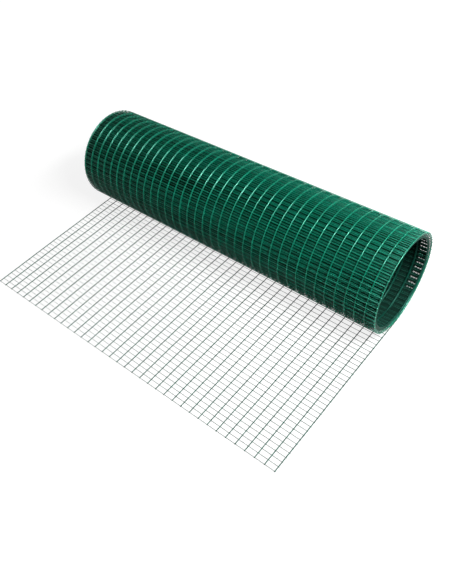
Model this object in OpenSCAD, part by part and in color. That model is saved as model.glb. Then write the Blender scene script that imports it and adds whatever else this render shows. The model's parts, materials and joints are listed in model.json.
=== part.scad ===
// Roll of plastic-coated welded wire fencing, lying on its side with its free end unrolled flat.
// Millimetres. X runs along the roll's axis, the free end points to -Y, and the floor is Z = 0.

/* [Mesh] */
// Width of the mesh between its two edge line wires
mesh_w = 914.4; // [300:0.1:1200]
// Spacing of the line wires, which run along the length of the mesh; whole cells fill the width
line_pitch = 25.4; // [12:0.1:60]
// Spacing of the cross wires, which run across the width of the mesh
cross_pitch = 12.7; // [10:0.1:60]
// Diameter of a line wire over its coating
line_d = 2.2; // [0.9:0.1:3]
// Diameter of a cross wire over its coating
cross_d = 1.1; // [0.8:0.1:3]
// Depth that two crossing wires sink into each other at their weld
weld_sink = 0.3; // [0.1:0.05:0.4]
// Length of a cross wire's end past the edge line wire
side_stub = 2; // [1:0.5:6]
// Length of a line wire's end past the first cross wire
cut_stub = 2; // [1:0.5:6]

/* [Roll] */
// Diameter of the roll over its outer cross wires
roll_d = 251; // [200:1:400]
// Turns of mesh in the roll
turns = 5; // [2:1:12]
// Slack between one turn and the next
turn_slack = 0.1; // [0.1:0.1:2]

/* [Free end] */
// Length of mesh that lies flat, from below the roll's axis to the first cross wire
free_length = 482.6; // [150:0.1:800]
// Clearance between the flat mesh and the underside of the roll
seat_gap = 0.3; // [0.1:0.1:1]

/* [Hidden] */
NODES = ["roll", "flat_mesh_panel_1", "flat_mesh_panel_2", "flat_mesh_panel_3", "flat_mesh_panel_4"];
panels = len(NODES) - 1;
wire_sides = 6;
coat_green = "#0f6a4e";
roll_green = "#0b5540";

// One layer of mesh: cross wires on the outside, line wires welded to their inside.
weld_step = (line_d + cross_d) / 2 - weld_sink;
mesh_t = line_d + cross_d - weld_sink;
turn_pitch = mesh_t + turn_slack;
cells_across = round(mesh_w / line_pitch);
cell_w = mesh_w / cells_across;

roll_r = roll_d / 2;
bore_r = roll_r - turns * turn_pitch;

// The origin is on the floor at the middle of the roll and its free end together.
free_reach = free_length + cut_stub;
axis_y = (free_reach - roll_r) / 2;

// Distance in front of the axis at which the roll's underside clears a given height.
function underside_reach(height) = sqrt(pow(roll_r, 2) - pow(roll_r - height - seat_gap, 2));
line_reach = underside_reach(mesh_t);
cross_reach = line_reach + cross_d / 2;
flat_cross_wires = floor((free_length - cross_reach) / cross_pitch) + 1;

line_wires = cells_across + 1;
function line_x(i) = i * cell_w - mesh_w / 2;
function cross_r(turn) = roll_r - cross_d / 2 - turn * turn_pitch;
function line_r(turn) = cross_r(turn) - weld_step;
function panel_first(p) = floor(p * line_wires / panels);
function panel_start(p) = p == 0 ? line_x(0) - side_stub : line_x(panel_first(p)) - cell_w / 2;
function panel_end(p) = p == panels - 1 ? line_x(cells_across) + side_stub : panel_start(p + 1);

// Section of a coated wire with few sides, two of them square to the section's first axis.
module wire_section(d) {
    rotate(180 / wire_sides)
        circle(d = d / cos(180 / wire_sides), $fn = wire_sides);
}

// Straight wire along +X, resting on Z = 0 with a flat side down.
module wire(d, length) {
    translate([0, 0, d / 2])
        rotate([0, 90, 0])
            linear_extrude(length)
                wire_section(d);
}

// Section of one turn on both ends: the ends of the cross wires as a band, the edge line wire on its inside.
module turn_section(turn) {
    band_w = side_stub + line_d / 2;
    for (side = [-1, 1]) {
        translate([cross_r(turn), side * (mesh_w / 2 + side_stub - band_w / 2)])
            square([cross_d, band_w], center = true);
        translate([line_r(turn), side * mesh_w / 2])
            wire_section(line_d);
    }
}

// Section of the roll: body, ribs and grooves of the turns on both ends, and rings of the outer line wires.
module roll_section() {
    body_r = roll_r - mesh_t + weld_sink;
    translate([bore_r, -mesh_w / 2])
        square([body_r - bore_r, mesh_w]);
    for (turn = [0 : turns - 1])
        turn_section(turn);
    for (i = [1 : cells_across - 1])
        translate([line_r(0), line_x(i)])
            wire_section(line_d);
}

module roll() {
    color(roll_green)
        translate([0, axis_y, roll_r])
            rotate([0, 90, 0])
                rotate_extrude($fn = 128)
                    roll_section();
}

// One panel of the flat free end: its cross wires on the floor, the line wires welded on top.
module flat_mesh_panel(p) {
    color(coat_green)
        translate([0, axis_y, 0]) {
            for (i = [panel_first(p) : panel_first(p + 1) - 1])
                translate([line_x(i), -free_reach, cross_d - weld_sink])
                    rotate(90)
                        wire(line_d, free_reach - line_reach);
            for (k = [0 : flat_cross_wires - 1])
                translate([panel_start(p), k * cross_pitch - free_length, 0])
                    wire(cross_d, panel_end(p) - panel_start(p));
        }
}

roll();
flat_mesh_panel(0);  // flat_mesh_panel_1
flat_mesh_panel(1);  // flat_mesh_panel_2
flat_mesh_panel(2);  // flat_mesh_panel_3
flat_mesh_panel(3);  // flat_mesh_panel_4
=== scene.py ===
import json
import math

import bpy
import numpy as np
from mathutils import Matrix, Vector


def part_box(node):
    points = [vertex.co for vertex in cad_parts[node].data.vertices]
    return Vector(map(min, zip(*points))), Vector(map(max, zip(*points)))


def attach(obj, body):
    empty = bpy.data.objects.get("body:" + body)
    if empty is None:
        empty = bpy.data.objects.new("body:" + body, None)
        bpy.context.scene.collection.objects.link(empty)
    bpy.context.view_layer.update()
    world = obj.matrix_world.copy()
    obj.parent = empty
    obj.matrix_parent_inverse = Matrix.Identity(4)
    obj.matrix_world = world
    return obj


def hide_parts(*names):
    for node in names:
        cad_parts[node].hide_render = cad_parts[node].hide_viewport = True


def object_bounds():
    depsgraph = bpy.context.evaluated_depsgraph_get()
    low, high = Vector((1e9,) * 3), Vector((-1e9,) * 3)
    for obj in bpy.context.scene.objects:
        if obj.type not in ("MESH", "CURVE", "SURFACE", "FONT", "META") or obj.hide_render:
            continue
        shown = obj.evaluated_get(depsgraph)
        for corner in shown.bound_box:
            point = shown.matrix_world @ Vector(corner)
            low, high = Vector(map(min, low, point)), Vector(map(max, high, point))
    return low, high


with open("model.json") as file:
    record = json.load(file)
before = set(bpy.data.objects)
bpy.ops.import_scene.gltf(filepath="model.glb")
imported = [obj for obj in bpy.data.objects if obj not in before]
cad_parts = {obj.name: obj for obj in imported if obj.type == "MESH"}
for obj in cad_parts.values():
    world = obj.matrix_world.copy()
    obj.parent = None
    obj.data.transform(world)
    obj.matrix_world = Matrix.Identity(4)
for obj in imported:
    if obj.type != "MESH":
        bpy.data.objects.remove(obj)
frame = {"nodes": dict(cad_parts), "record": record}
cad_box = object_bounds()

MM = 0.001
FULL_TURN = 2 * math.pi
ACROSS = np.array([1.0, 0.0, 0.0])
WHITE = (1.0, 1.0, 1.0, 1.0)
PANELS = [name for name in frame["nodes"] if name.startswith("flat_mesh_panel")]

# Mesh: line wires along its length, welded to the inner side of its cross wires
LINE_PITCH = 25.4 * MM
CROSS_PITCH = 12.7 * MM
CELLS_ACROSS = 36
LINE_D = 2.2 * MM
CROSS_D = 1.1 * MM
WELD_SINK = 0.3 * MM
SIDE_STUB = 2.0 * MM
CUT_STUB = 2.0 * MM

# Roll and free end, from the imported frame
TURNS = 5
roll_low, roll_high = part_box("roll")
ROLL_R = (roll_high.z - roll_low.z) / 2
AXIS_Y = (roll_low.y + roll_high.y) / 2
BORE_R = next(m for m in frame["record"]["mounts"] if m["name"] == "roll_bore")["dims"]["r_mm"] * MM
TURN_PITCH = (ROLL_R - BORE_R) / TURNS
FLAT_LENGTH = AXIS_Y - cad_box[0][1] - CUT_STUB

# Lifts of the wires' middles and of the welds above the outer side of the mesh, and its whole length
LINE_LIFT = CROSS_D - WELD_SINK + LINE_D / 2
WELD_LIFT = CROSS_D - WELD_SINK / 2
CROSS_LIFT = CROSS_D / 2
WIND_R = ROLL_R - LINE_LIFT
MESH_LENGTH = FLAT_LENGTH + FULL_TURN * TURNS * (WIND_R - TURN_PITCH * TURNS / 2)

# Rounded ends of the wires, and beads of coating at the welds, by half their size across, along and through
# the mesh, with rings of corners at these degrees of latitude
END_TAPER = 0.6
END_ROUND = 0.4 * MM
WELD_BEAD = (1.35 * MM, 0.95 * MM, 0.9 * MM)
BEAD_SIDES = 6
BEAD_LEVELS = (-50.0, 0.0, 50.0)

# Sides of the wires, and steps of the line wires round one turn
FLAT_SIDES = 8
OUTER_SIDES, OUTER_STEPS = 8, 120
INNER_SIDES, INNER_STEPS = 6, 72
PACKED_SIDES = 6

# Packed middle turns, which close the roll to the eye. A near-black backing of cross wires side by side,
# painted shade for the dark inside of the roll, laps over itself by an angle in radians. It has small windows
# in the last cell of both ends, between two angles in degrees at the roll's back. They are open over a share of
# each cross pitch, and across the mesh between pairs of distances from its edge line wires.
BACKING_TURN = 3
BACKING_OVERLAP = 0.15
PACKED_PITCH = 1.0 * MM
WINDOW_ANGLES = (42, 125)
WINDOW_SHARE = 0.2
WINDOW_EDGES = (3.0 * MM, 7.0 * MM, 9.0 * MM, 13.0 * MM, 15.0 * MM, 19.0 * MM)

# Bunched cross wires in front of the backing, behind the outer cross wires and half-way between them, by their
# shifts from these along the mesh in mm, at its left and at its right. One changes into the other between two
# places across the mesh, and each wire is off by some random amount.
BUNCH_TURN = 2
BEHIND_SHIFTS = ((-0.6, -0.7), (0.6, 0.7))
BEHIND_SEED = 11
BETWEEN_SHIFTS = ((5.4, 5.25), (6.35, 6.35), (4.6, 7.45))
BETWEEN_SEED = 12
BUNCH_RAMP = (-0.16, 0.04)
BUNCH_SPREAD = 0.25 * MM

# Unevenness of a hand-wound roll: the sideways run of each turn, its wander, as shares and radians per metre,
# which grows over a first length in metres, and the skew of each further turn's cross wires
TURN_DRIFT = 0.8 * MM
DRIFT = 0.4 * MM
WANDER = ((1.0, 2.3), (0.6, 5.9))
WANDER_RAMP = 1.0
TURN_SKEW = 0.009

# Waves of the mesh laid on the floor: radians per metre across and along it, a phase, and the length in metres
# in front of the roll's lowest point over which they grow
FLAT_WAVE = 0.6 * MM
FLAT_SWELLS = ((9.0, 14.0, 0.0), (-5.0, 11.0, 0.8))
FLAT_WAVE_RAMP = 0.15

# Camera, fitted to the outline of the roll and the corners of the flat mesh: pixels, degrees and metres
FRAME_W_PX = 452
FRAME_H_PX = 584
FOCAL_PX = 617.0
PRINCIPAL_PX = (205.0, 307.0)
CAMERA_AZIMUTH = 46.6
CAMERA_ELEVATION = 48.5
CAMERA_ROLL = -8.47
CAMERA_DISTANCE = 1.675
CAMERA_OFFSET = (-0.103, -0.167)
SENSOR = 36.0

# Light: a lamp, a second one in its place for the gloss alone, and an even surround. Where it is looked at, its
# lower part is a white backdrop, which fades out between two heights of the line of sight.
KEY_PLACE = (1.2, 0.15, 1.6)
KEY_TARGET = (0.0, 0.1, 0.1)
KEY_SIZE = (1.1, 0.3)
KEY_POWER = 55.0
GLEAM_POWER = 190.0
SURROUND_STRENGTH = 0.15
BACKDROP_WHITE = 1.0
BACKDROP_TOP = (0.22, 0.4)

# Floor: its own shade, and the white that it adds where it is looked at, which grows to 1 between two distances
FLOOR_SHADE = 0.2
FLOOR_ROUGHNESS = 0.9
FLOOR_WHITE = 0.86
FLOOR_FADE = (0.6, 1.3)
FLOOR_HALF_SIZE = 30.0

# Coating by its light and dark tone, roughness and gloss level: line wires of the outer turns; all of the flat
# mesh, darkened as painted shade; outer cross wires, lightened as painted highlight; inner turns, darkened as
# painted shade; bunches behind the outer cross wires, lightened as painted light, and between them, darkened as
# painted shade; and backing, near black as painted shade
GREEN = ((0.001, 0.19, 0.11), (0.001, 0.15, 0.087), 0.25, 0.5)
FLAT_SHADED_GREEN = ((0.0005, 0.06, 0.034), (0.0005, 0.045, 0.026), 0.35, 0.1)
CROSS_LIT_GREEN = ((0.002, 0.25, 0.15), (0.002, 0.2, 0.12), 0.28, 0.8)
INNER_SHADED_GREEN = ((0.003, 0.06, 0.039), (0.003, 0.048, 0.031), 0.35, 0.1)
BUNCH_LIT_GREEN = ((0.001, 0.21, 0.123), (0.001, 0.16, 0.094), 0.3, 0.5)
BETWEEN_SHADED_GREEN = ((0.001, 0.15, 0.088), (0.001, 0.115, 0.067), 0.3, 0.4)
BACKING_SHADED_GREEN = ((0.001, 0.012, 0.007), (0.001, 0.008, 0.005), 0.6, 0.05)
# Line wires of this many outer turns keep the plain tone; deeper ones are darkened as painted shade
UNSHADED_LINE_TURNS = 2

# Gloss and unevenness of every coating: scale and detail of the noise in its tone, gloss and surface
GLOSS_TINT = (0.35, 1.0, 0.8)
GLOSS_IOR = 1.5
TONE_NOISE = (45.0, 4.0)
TONE_EDGES = (0.35, 0.65)
GLOSS_NOISE = (160.0, 3.0)
GLOSS_SPREAD = 0.07
LUMP_NOISE = (650.0, 2.0)
LUMP_STRENGTH = 0.25
LUMP_HEIGHT = 0.1 * MM

line_x = (np.arange(CELLS_ACROSS + 1) - CELLS_ACROSS / 2) * LINE_PITCH


def turn_angle(wound):
    """Angle wound round the roll, from its lowest point, after a length of mesh past the flat part."""
    wound = np.maximum(wound, 0.0)
    return (WIND_R - np.sqrt(WIND_R**2 - TURN_PITCH * wound / math.pi)) * FULL_TURN / TURN_PITCH


def wound_length(angle):
    """Length of mesh wound over an angle: the inverse of turn_angle."""
    return WIND_R * angle - TURN_PITCH * angle**2 / (2 * FULL_TURN)


def drift(length):
    """Sideways run of the wound mesh: each turn lies a little further to -X, with some wander."""
    wound = np.maximum(length - FLAT_LENGTH, 0.0)
    wander = sum(share * np.sin(rate * wound) for share, rate in WANDER)
    ramp = np.minimum(wound / WANDER_RAMP, 1.0)
    return DRIFT * wander * ramp - TURN_DRIFT * turn_angle(wound) / FULL_TURN


def wave(x, length):
    """Height of the flat mesh's gentle waves above the floor, none where it runs under the roll."""
    first, second = (np.sin(across * x + along * length + phase) for across, along, phase in FLAT_SWELLS)
    ramp = np.clip((FLAT_LENGTH - length) / FLAT_WAVE_RAMP, 0.0, 1.0)
    return FLAT_WAVE * (1.0 + first * second) * ramp


def strip(x, length, lift):
    """Places on the mesh, by place across it, length from its first cross wire and lift above its outer side.

    Returns the points, the outward normals and the tangents along the mesh.
    """
    x, length, lift = np.broadcast_arrays(x, length, lift)
    flat = length <= FLAT_LENGTH
    angle = turn_angle(length - FLAT_LENGTH)
    radius = ROLL_R - TURN_PITCH * angle / FULL_TURN - lift
    y = np.where(flat, AXIS_Y - FLAT_LENGTH + length, AXIS_Y + radius * np.sin(angle))
    z = np.where(flat, lift + wave(x, length), ROLL_R - radius * np.cos(angle))
    zero = np.zeros_like(y)
    point = np.stack([x + drift(length), y, z], -1)
    normal = np.stack([zero, np.sin(angle), -np.cos(angle)], -1)
    tangent = np.stack([zero, np.cos(angle), np.sin(angle)], -1)
    return point, normal, tangent


def tubes(points, side_a, side_b, radius, sides):
    """Round wires as vertices and faces: points is wires by stations by 3, the sides span each section."""
    wires, stations = points.shape[:2]
    turn = np.arange(sides) * FULL_TURN / sides
    ring = np.cos(turn)[:, None] * side_a[:, :, None] + np.sin(turn)[:, None] * side_b[:, :, None]
    verts = (points[:, :, None] + radius * ring).reshape(-1, 3)
    index = np.arange(wires * stations * sides).reshape(wires, stations, sides)
    near, far = index[:, :-1], index[:, 1:]
    quads = np.stack([near, np.roll(near, -1, 2), np.roll(far, -1, 2), far], -1).reshape(-1, 4)
    caps = np.concatenate([index[:, 0, ::-1], index[:, -1]])
    return verts, [quads, caps]


def line_wires(lengths, sides):
    """All line wires along a run of the mesh, given by its lengths from the first cross wire."""
    point, normal, _ = strip(line_x[:, None], lengths[None, :], LINE_LIFT)
    taper = np.ones((1, len(lengths), 1, 1))
    taper[:, (lengths <= -CUT_STUB) | (lengths >= MESH_LENGTH)] = END_TAPER
    return tubes(point, np.broadcast_to(ACROSS, point.shape), -normal, LINE_D / 2 * taper, sides)


def cross_wires(lengths, stations, sides, shift=0.0):
    """One cross wire at each of the lengths, through stations across the mesh.

    The shift, which may differ for each wire and station, is along the mesh.
    """
    point, normal, tangent = strip(stations, lengths[:, None] + shift, CROSS_LIFT)
    taper = np.ones((1, point.shape[1], 1, 1))
    taper[:, [0, -1]] = END_TAPER
    return tubes(point, tangent, normal, CROSS_D / 2 * taper, sides)


def weld_beads(lengths):
    """Coating that fills the corners at every crossing of the cross wires at these lengths."""
    point, normal, tangent = strip(line_x[None, :], lengths[:, None], WELD_LIFT)
    around = np.arange(BEAD_SIDES) * FULL_TURN / BEAD_SIDES
    levels = np.radians(BEAD_LEVELS)
    unit = [(0.0, 0.0, -1.0)]
    unit += [(math.cos(v) * math.cos(a), math.cos(v) * math.sin(a), math.sin(v))
             for v in levels for a in around]
    unit += [(0.0, 0.0, 1.0)]
    unit = np.array(unit) * np.array(WELD_BEAD)
    shape = (unit[:, 0, None] * ACROSS + unit[:, 1, None] * tangent.reshape(-1, 1, 3)
             + unit[:, 2, None] * normal.reshape(-1, 1, 3))
    verts = point.reshape(-1, 1, 3) + shape
    rings = 1 + np.arange(len(levels) * BEAD_SIDES).reshape(len(levels), BEAD_SIDES)
    following = np.roll(rings, -1, 1)
    quads = np.stack([rings[:-1], following[:-1], following[1:], rings[1:]], -1).reshape(-1, 4)
    bottom = np.stack([np.zeros(BEAD_SIDES, int), following[0], rings[0]], -1)
    top = np.stack([np.full(BEAD_SIDES, len(unit) - 1), rings[-1], following[-1]], -1)
    start = (np.arange(len(verts)) * len(unit))[:, None, None]
    faces = [(start + quads).reshape(-1, 4), (start + np.concatenate([bottom, top])).reshape(-1, 3)]
    return verts.reshape(-1, 3), faces


def mesh_object(name, parts, material):
    """One smooth object from several (vertices, faces) parts, riding on the body."""
    verts = np.concatenate([v for v, _ in parts])
    start = np.cumsum([0] + [len(v) for v, _ in parts])
    faces = [f + s for (_, groups), s in zip(parts, start) for f in groups]
    loops = np.concatenate([f.ravel() for f in faces])
    totals = np.concatenate([np.full(len(f), f.shape[1]) for f in faces])
    mesh = bpy.data.meshes.new(name)
    mesh.vertices.add(len(verts))
    mesh.vertices.foreach_set("co", verts.ravel())
    mesh.loops.add(len(loops))
    mesh.loops.foreach_set("vertex_index", loops)
    mesh.polygons.add(len(totals))
    mesh.polygons.foreach_set("loop_start", np.concatenate([[0], np.cumsum(totals)[:-1]]))
    mesh.polygons.foreach_set("loop_total", totals)
    mesh.polygons.foreach_set("use_smooth", np.ones(len(totals), bool))
    mesh.update(calc_edges=True)
    mesh.validate()
    mesh.materials.append(material)
    piece = bpy.data.objects.new(name, mesh)
    bpy.context.scene.collection.objects.link(piece)
    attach(piece, "root")
    return piece


def noise(tree, place, scale, detail):
    """Output of a noise texture on the object's own coordinates."""
    texture = tree.nodes.new("ShaderNodeTexNoise")
    texture.inputs["Scale"].default_value = scale
    texture.inputs["Detail"].default_value = detail
    tree.links.new(place.outputs["Object"], texture.inputs["Vector"])
    return texture.outputs[0]


def coated_wire(name, light, dark, roughness, specular):
    """Green plastic coating: soft gloss, with a little unevenness in its colour, gloss and surface."""
    mat = bpy.data.materials.new(name)
    mat.use_nodes = True
    tree = mat.node_tree
    shader = tree.nodes["Principled BSDF"]
    shader.inputs["IOR"].default_value = GLOSS_IOR
    shader.inputs["Specular IOR Level"].default_value = specular
    shader.inputs["Specular Tint"].default_value = (*GLOSS_TINT, 1.0)
    place = tree.nodes.new("ShaderNodeTexCoord")

    colours = tree.nodes.new("ShaderNodeValToRGB")
    for stop, position, colour in zip(colours.color_ramp.elements, TONE_EDGES, (dark, light)):
        stop.position = position
        stop.color = (*colour, 1.0)
    tree.links.new(noise(tree, place, *TONE_NOISE), colours.inputs[0])
    tree.links.new(colours.outputs[0], shader.inputs["Base Color"])

    spread = tree.nodes.new("ShaderNodeMapRange")
    spread.inputs["To Min"].default_value = roughness - GLOSS_SPREAD
    spread.inputs["To Max"].default_value = roughness + GLOSS_SPREAD
    tree.links.new(noise(tree, place, *GLOSS_NOISE), spread.inputs["Value"])
    tree.links.new(spread.outputs[0], shader.inputs["Roughness"])

    bump = tree.nodes.new("ShaderNodeBump")
    bump.inputs["Strength"].default_value = LUMP_STRENGTH
    bump.inputs["Distance"].default_value = LUMP_HEIGHT
    tree.links.new(noise(tree, place, *LUMP_NOISE), bump.inputs["Height"])
    tree.links.new(bump.outputs[0], shader.inputs["Normal"])
    return mat


def looked_at(tree):
    """Socket that is 1 where the camera, a reflection or glass looks straight at a stage surface."""
    rays = tree.nodes.new("ShaderNodeLightPath")
    total = rays.outputs["Is Camera Ray"]
    for name in ("Is Glossy Ray", "Is Transmission Ray"):
        larger = tree.nodes.new("ShaderNodeMath")
        larger.operation = "MAXIMUM"
        tree.links.new(total, larger.inputs[0])
        tree.links.new(rays.outputs[name], larger.inputs[1])
        total = larger.outputs[0]
    return total


def fade(tree, edges, first, last):
    """Node that goes smoothly from the first value to the last between two edges."""
    node = tree.nodes.new("ShaderNodeMapRange")
    node.interpolation_type = "SMOOTHSTEP"
    for name, value in zip(("From Min", "From Max", "To Min", "To Max"), (*edges, first, last)):
        node.inputs[name].default_value = value
    return node


def floor():
    """White floor that keeps the roll's soft shadow."""
    mat = bpy.data.materials.new("pale_floor")
    mat.use_nodes = True
    tree = mat.node_tree
    shader = tree.nodes["Principled BSDF"]
    shader.inputs["Base Color"].default_value = (FLOOR_SHADE, FLOOR_SHADE, FLOOR_SHADE, 1.0)
    shader.inputs["Roughness"].default_value = FLOOR_ROUGHNESS
    shader.inputs["Specular IOR Level"].default_value = 0.0
    shader.inputs["Emission Color"].default_value = WHITE
    place = tree.nodes.new("ShaderNodeNewGeometry")
    away = tree.nodes.new("ShaderNodeVectorMath")
    away.operation = "LENGTH"
    share = fade(tree, FLOOR_FADE, FLOOR_WHITE, 1.0)
    seen = tree.nodes.new("ShaderNodeMath")
    seen.operation = "MULTIPLY"
    tree.links.new(place.outputs["Position"], away.inputs[0])
    tree.links.new(away.outputs["Value"], share.inputs["Value"])
    tree.links.new(looked_at(tree), seen.inputs[0])
    tree.links.new(share.outputs[0], seen.inputs[1])
    tree.links.new(seen.outputs[0], shader.inputs["Emission Strength"])
    mesh = bpy.data.meshes.new("floor")
    corners = [(x * FLOOR_HALF_SIZE, y * FLOOR_HALF_SIZE, 0) for x, y in ((-1, -1), (1, -1), (1, 1), (-1, 1))]
    mesh.from_pydata(corners, [], [(0, 1, 2, 3)])
    mesh.materials.append(mat)
    plane = bpy.data.objects.new("floor", mesh)
    bpy.context.scene.collection.objects.link(plane)


def camera():
    """Camera at the photograph's viewing angle."""
    azimuth, elevation, roll = map(math.radians, (CAMERA_AZIMUTH, CAMERA_ELEVATION, CAMERA_ROLL))
    level = Vector((math.cos(azimuth), math.sin(azimuth), 0.0))
    ahead = Vector((-math.sin(azimuth), math.cos(azimuth), 0.0))
    back = math.sin(elevation) * Vector((0, 0, 1)) - math.cos(elevation) * ahead
    upright = back.cross(level)
    right = math.cos(roll) * level + math.sin(roll) * upright
    up = math.cos(roll) * upright - math.sin(roll) * level
    place = (Vector((0, AXIS_Y, 0)) + back * CAMERA_DISTANCE
             + right * CAMERA_OFFSET[0] + up * CAMERA_OFFSET[1])
    data = bpy.data.cameras.new("camera")
    data.sensor_width = SENSOR
    data.lens = FOCAL_PX / FRAME_H_PX * SENSOR
    data.shift_x = (FRAME_W_PX / 2 - PRINCIPAL_PX[0]) / FRAME_H_PX
    data.shift_y = (PRINCIPAL_PX[1] - FRAME_H_PX / 2) / FRAME_H_PX
    view = bpy.data.objects.new("camera", data)
    view.matrix_world = Matrix.Translation(place) @ Matrix((right, up, back)).transposed().to_4x4()
    bpy.context.scene.collection.objects.link(view)
    bpy.context.scene.camera = view


def lights():
    """Soft studio light: a broad key from above on the right, and an even pale surround.

    A second lamp in the key's place, which only reflections see, gives the gloss of the wires.
    """
    for name, power in (("key", KEY_POWER), ("gleam", GLEAM_POWER)):
        data = bpy.data.lights.new(name, "AREA")
        data.shape = "RECTANGLE"
        data.size, data.size_y = KEY_SIZE
        data.energy = power
        lamp = bpy.data.objects.new(name, data)
        lamp.location = KEY_PLACE
        lamp.rotation_euler = (Vector(KEY_TARGET) - Vector(KEY_PLACE)).to_track_quat("-Z", "Y").to_euler()
        lamp.visible_diffuse = name == "key"
        bpy.context.scene.collection.objects.link(lamp)
    world = bpy.data.worlds.new("surround")
    world.use_nodes = True
    tree = world.node_tree
    place = tree.nodes.new("ShaderNodeTexCoord")
    height = tree.nodes.new("ShaderNodeSeparateXYZ")
    backdrop = fade(tree, BACKDROP_TOP, BACKDROP_WHITE, SURROUND_STRENGTH)
    strength = tree.nodes.new("ShaderNodeMix")
    strength.inputs["A"].default_value = SURROUND_STRENGTH
    light = tree.nodes["Background"]
    light.inputs["Color"].default_value = WHITE
    tree.links.new(place.outputs["Generated"], height.inputs[0])
    tree.links.new(height.outputs["Z"], backdrop.inputs["Value"])
    tree.links.new(looked_at(tree), strength.inputs["Factor"])
    tree.links.new(backdrop.outputs[0], strength.inputs["B"])
    tree.links.new(strength.outputs[0], light.inputs["Strength"])
    bpy.context.scene.world = world


def behind(angles):
    """Which of these angles round the roll lie on its back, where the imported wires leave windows."""
    degrees = np.degrees(angles % FULL_TURN)
    return (degrees > WINDOW_ANGLES[0]) & (degrees < WINDOW_ANGLES[1])


def packed_span(left, right, inner=()):
    """Stations across the mesh of a packed wire from left to right."""
    return np.array([left, left + END_ROUND, *inner, right - END_ROUND, right])


def painted_shade_backing():
    """Cross wires side by side, a little past one turn, that close the roll as painted shade but for windows at
    its back.
    """
    step = PACKED_PITCH / (ROLL_R - BACKING_TURN * TURN_PITCH)
    angles = np.arange(-BACKING_OVERLAP, FULL_TURN + BACKING_OVERLAP, step)
    lengths = FLAT_LENGTH + wound_length(angles + BACKING_TURN * FULL_TURN)
    clear = behind(angles) & ((lengths / CROSS_PITCH) % 1.0 < WINDOW_SHARE)
    end = line_x[-1]
    rims = [end, *(end - np.array(WINDOW_EDGES))]
    bars = [(inner, outer) for outer, inner in zip(rims[0::2], rims[1::2])]
    spans = bars + [(-rims[-1], rims[-1])] + [(-outer, -inner) for inner, outer in bars]
    parts = [cross_wires(lengths[~clear], packed_span(-end, end), PACKED_SIDES)]
    return parts + [cross_wires(lengths[clear], packed_span(*span), PACKED_SIDES) for span in spans]


def packed_bunches(outer_angles, shifts, seed):
    """Bunched cross wires of the middle turns, by their shifts from the outer cross wires at these angles.

    At the roll's back they stop one cell short of its ends, where the windows are.
    """
    rng = np.random.default_rng(seed)
    lengths = FLAT_LENGTH + wound_length(outer_angles + BUNCH_TURN * FULL_TURN)
    at_back = behind(outer_angles)
    every_other_line = line_x[2:-2:2]
    parts = []
    for left, right in shifts:
        for kept, end in ((~at_back, line_x[-1]), (at_back, line_x[-2])):
            stations = packed_span(-end, end, every_other_line)
            ramp = np.clip((stations - BUNCH_RAMP[0]) / (BUNCH_RAMP[1] - BUNCH_RAMP[0]), 0.0, 1.0)
            offset = rng.normal(0.0, BUNCH_SPREAD, (kept.sum(), 1))
            slant = rng.normal(0.0, BUNCH_SPREAD, (kept.sum(), 1))
            uneven = offset + slant * stations / end
            shift = (left + (right - left) * ramp**2 * (3 - 2 * ramp)) * MM + uneven
            parts.append(cross_wires(lengths[kept], stations, PACKED_SIDES, shift))
    return parts


green = coated_wire("green_plastic_coating", *GREEN)
# The flat mesh's coating, darkened: painted shade
flat_shaded_green = coated_wire("green_plastic_coating_flat_painted_shade", *FLAT_SHADED_GREEN)
# The outer cross wires' coating, lightened: painted highlight
cross_lit_green = coated_wire("green_plastic_coating_cross_painted_highlight", *CROSS_LIT_GREEN)
# The inner turns' coating, darkened: painted shade inside the roll
inner_shaded_green = coated_wire("green_plastic_coating_inner_painted_shade", *INNER_SHADED_GREEN)
# The coating of the bunches behind the outer cross wires, lightened: painted light
bunch_lit_green = coated_wire("green_plastic_coating_bunched_painted_light", *BUNCH_LIT_GREEN)
# The coating of the bunches between the outer cross wires, darkened: painted shade
between_shaded_green = coated_wire("green_plastic_coating_between_painted_shade", *BETWEEN_SHADED_GREEN)
# The backing's near-black coating: painted shade for the dark inside of the roll
backing_shaded_green = coated_wire("green_plastic_coating_backing_painted_shade", *BACKING_SHADED_GREEN)

# Lengths along the mesh of all cross wires, and the turns and angles of the wound ones
cross_lengths = np.arange(0.0, MESH_LENGTH, CROSS_PITCH)
flat_cross = cross_lengths[cross_lengths <= FLAT_LENGTH]
wound_cross = cross_lengths[cross_lengths > FLAT_LENGTH]
wound_angles = turn_angle(wound_cross - FLAT_LENGTH)
cross_turn = (wound_angles / FULL_TURN).astype(int)
outer_angles = wound_angles[cross_turn == 0]

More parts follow.
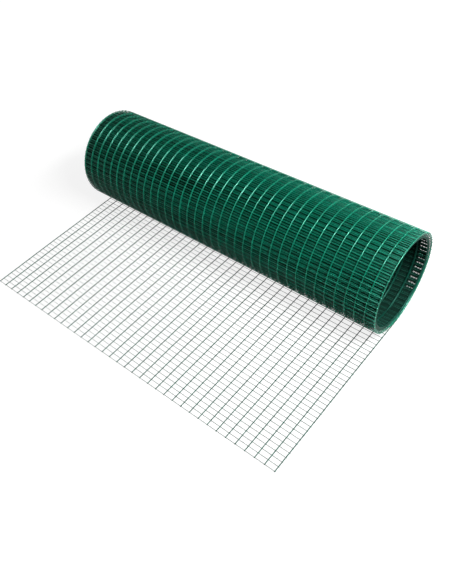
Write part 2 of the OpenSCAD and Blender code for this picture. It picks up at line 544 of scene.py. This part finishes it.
# Stations across the mesh of a cross wire on the floor, which follows its waves, and of one on the roll
left_end, right_end = line_x[0] - SIDE_STUB, line_x[-1] + SIDE_STUB
left_stub, right_stub = [left_end, left_end + END_ROUND], [right_end - END_ROUND, right_end]
half_cells = np.linspace(line_x[0], line_x[-1], 2 * CELLS_ACROSS + 1)
waved_cross = np.concatenate([left_stub, half_cells, right_stub])
straight_cross = np.array(left_stub + right_stub)

# Free end
cut_end = [-CUT_STUB, END_ROUND - CUT_STUB]
flat_run = np.concatenate([cut_end, np.arange(0.0, FLAT_LENGTH, CROSS_PITCH / 2), [FLAT_LENGTH]])
flat_parts = [line_wires(flat_run, FLAT_SIDES), cross_wires(flat_cross, waved_cross, FLAT_SIDES)]
# The flat mesh and its welds take the darkened coating: painted shade
flat_mesh = mesh_object("flat_mesh", flat_parts, flat_shaded_green)
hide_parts(*PANELS)
mesh_object("flat_mesh_welds", [weld_beads(flat_cross)], flat_shaded_green)

# Turns of the roll; the first one starts just past the flat part, so that all of it counts as wound
for turn in range(TURNS):
    outer = turn == 0
    sides, steps = (OUTER_SIDES, OUTER_STEPS) if outer else (INNER_SIDES, INNER_STEPS)
    angles = np.linspace(turn, turn + 1, steps + 1) * FULL_TURN
    lengths = np.maximum(FLAT_LENGTH + wound_length(angles), np.nextafter(FLAT_LENGTH, 1.0))
    crosses = wound_cross[cross_turn == turn]
    skew = TURN_SKEW * turn * straight_cross
    # Line wires past the first turns take the darkened coating: painted shade inside the roll
    piece = mesh_object(f"roll_turn_{turn + 1}_lines", [line_wires(lengths, sides)],
                        green if turn < UNSHADED_LINE_TURNS else inner_shaded_green)
    # The outer turn's cross wires take the lightened coating, painted highlight; the others take the darkened
    # one, painted shade
    mesh_object(f"roll_turn_{turn + 1}_crosses", [cross_wires(crosses, straight_cross, sides, skew)],
                cross_lit_green if outer else inner_shaded_green)
    if outer:
        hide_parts("roll")
        # Its welds take the lightened coating too: painted highlight
        mesh_object("roll_turn_1_welds", [weld_beads(crosses)], cross_lit_green)

behind_bunches = packed_bunches(outer_angles, BEHIND_SHIFTS, BEHIND_SEED)
between_bunches = packed_bunches(outer_angles, BETWEEN_SHIFTS, BETWEEN_SEED)
# Bunches behind the outer cross wires take a lightened coating: painted light
mesh_object("roll_bunches_behind", behind_bunches, bunch_lit_green)
# Bunches between the outer cross wires take a darkened coating: painted shade
mesh_object("roll_bunches_between", between_bunches, between_shaded_green)
# The backing is near black: painted shade for the dark inside of the roll
mesh_object("roll_packed_backing", painted_shade_backing(), backing_shaded_green)

floor()
camera()
lights()
bpy.context.scene.view_settings.view_transform = "Standard"
